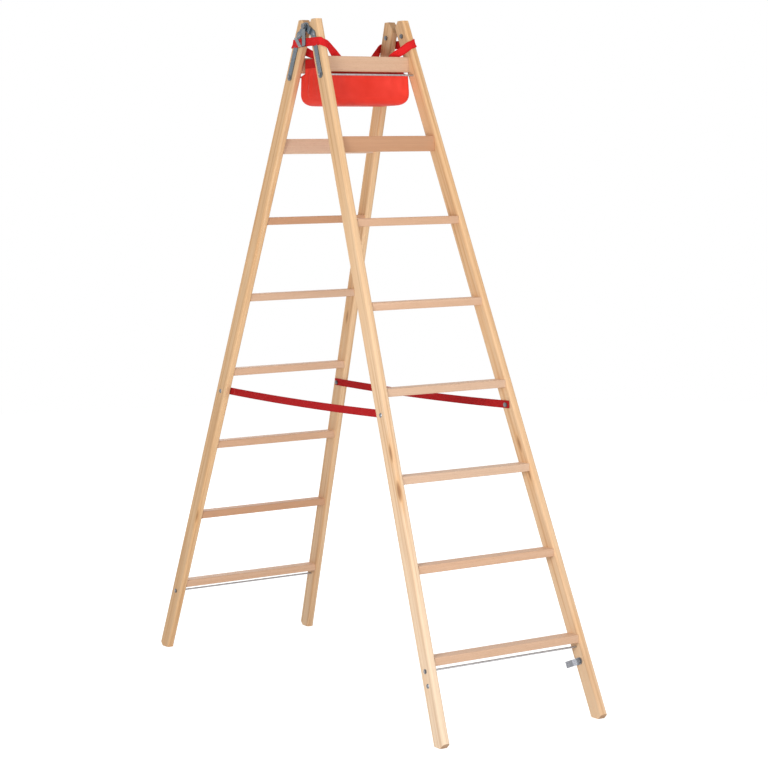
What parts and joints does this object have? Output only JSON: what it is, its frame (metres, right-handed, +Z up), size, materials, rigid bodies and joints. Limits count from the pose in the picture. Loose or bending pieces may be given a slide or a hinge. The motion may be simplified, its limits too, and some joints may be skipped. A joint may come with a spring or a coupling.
{
  "type": "trestle ladder",
  "caption": "Wooden trestle ladder standing open, with rungs on both sides, head hinges, webbing spreaders, a fabric tool bag, a swinging bucket hook and a turning transport catch.",
  "frame": {"origin": "centre of the four feet on the floor", "axes": "+Z up, +X along the rungs, the frame with the transport catch at -Y"},
  "size_m": [0.6192, 1.8272, 2.2001],
  "materials": {
    "pine": "planed, clear",
    "beech": "planed, clear",
    "zinc_plate": "zinc plated",
    "zinc_fixings": "zinc plated",
    "hook_steel": "zinc plated",
    "webbing": "woven",
    "bag_cloth": "coated, glossy"
  },
  "bodies": {
    "front_frame": {"front_left_stile": "pine", "front_right_stile": "pine", "front_rung_1": "beech", "front_rung_2": "beech", "front_rung_3": "beech", "front_rung_4": "beech", "front_rung_5": "beech", "front_rung_6": "beech", "front_rung_7": "beech", "front_rung_8": "beech", "front_lower_tie_rod": "zinc_fixings", "front_upper_tie_rod": "zinc_fixings", "front_rod_nuts": "zinc_fixings", "front_left_hinge_leaf": "zinc_plate", "front_right_hinge_leaf": "zinc_plate", "left_hinge_pin": "zinc_fixings", "right_hinge_pin": "zinc_fixings", "hook_spacer": "zinc_fixings", "front_hinge_bolts": "zinc_fixings", "front_hinge_nuts": "zinc_fixings", "front_strap_bolts": "zinc_fixings", "front_strap_nuts": "zinc_fixings", "front_low_bolts": "zinc_fixings", "front_low_nuts": "zinc_fixings", "left_spreader_strap": "webbing", "right_spreader_strap": "webbing", "tool_bag": "bag_cloth", "left_harness_strap": "webbing", "right_harness_strap": "webbing"},
    "rear_frame": {"rear_left_stile": "pine", "rear_right_stile": "pine", "rear_rung_1": "beech", "rear_rung_2": "beech", "rear_rung_3": "beech", "rear_rung_4": "beech", "rear_rung_5": "beech", "rear_rung_6": "beech", "rear_rung_7": "beech", "rear_rung_8": "beech", "rear_lower_tie_rod": "zinc_fixings", "rear_upper_tie_rod": "zinc_fixings", "rear_rod_nuts": "zinc_fixings", "rear_left_hinge_leaf": "zinc_plate", "rear_right_hinge_leaf": "zinc_plate", "rear_hinge_bolts": "zinc_fixings", "rear_hinge_nuts": "zinc_fixings", "rear_strap_bolts": "zinc_fixings", "rear_strap_nuts": "zinc_fixings"},
    "bucket_hook": {"bucket_hook": "hook_steel"},
    "transport_catch": {"transport_catch": "zinc_plate"}
  },
  "joints": [
    {"name": "fold", "type": "hinge", "parent": "front_frame", "child": "rear_frame", "pos_m": [0, 0, 2.1781], "axis": [-1, 0, 0], "range_deg": [0, 42.8], "deforming": ["left_spreader_strap", "right_spreader_strap", "left_harness_strap", "right_harness_strap", "tool_bag"]},
    {"name": "hook_swing", "type": "hinge", "parent": "front_frame", "child": "bucket_hook", "pos_m": [-0.192, 0, 2.1781], "axis": [1, 0, 0], "range_deg": [-35, 35]},
    {"name": "catch_swing", "type": "hinge", "parent": "front_frame", "child": "transport_catch", "pos_m": [0.2742, -0.8215, 0.1725], "axis": [-0.9985, -0.0201, -0.0513], "range_deg": [0, 90]}
  ]
}
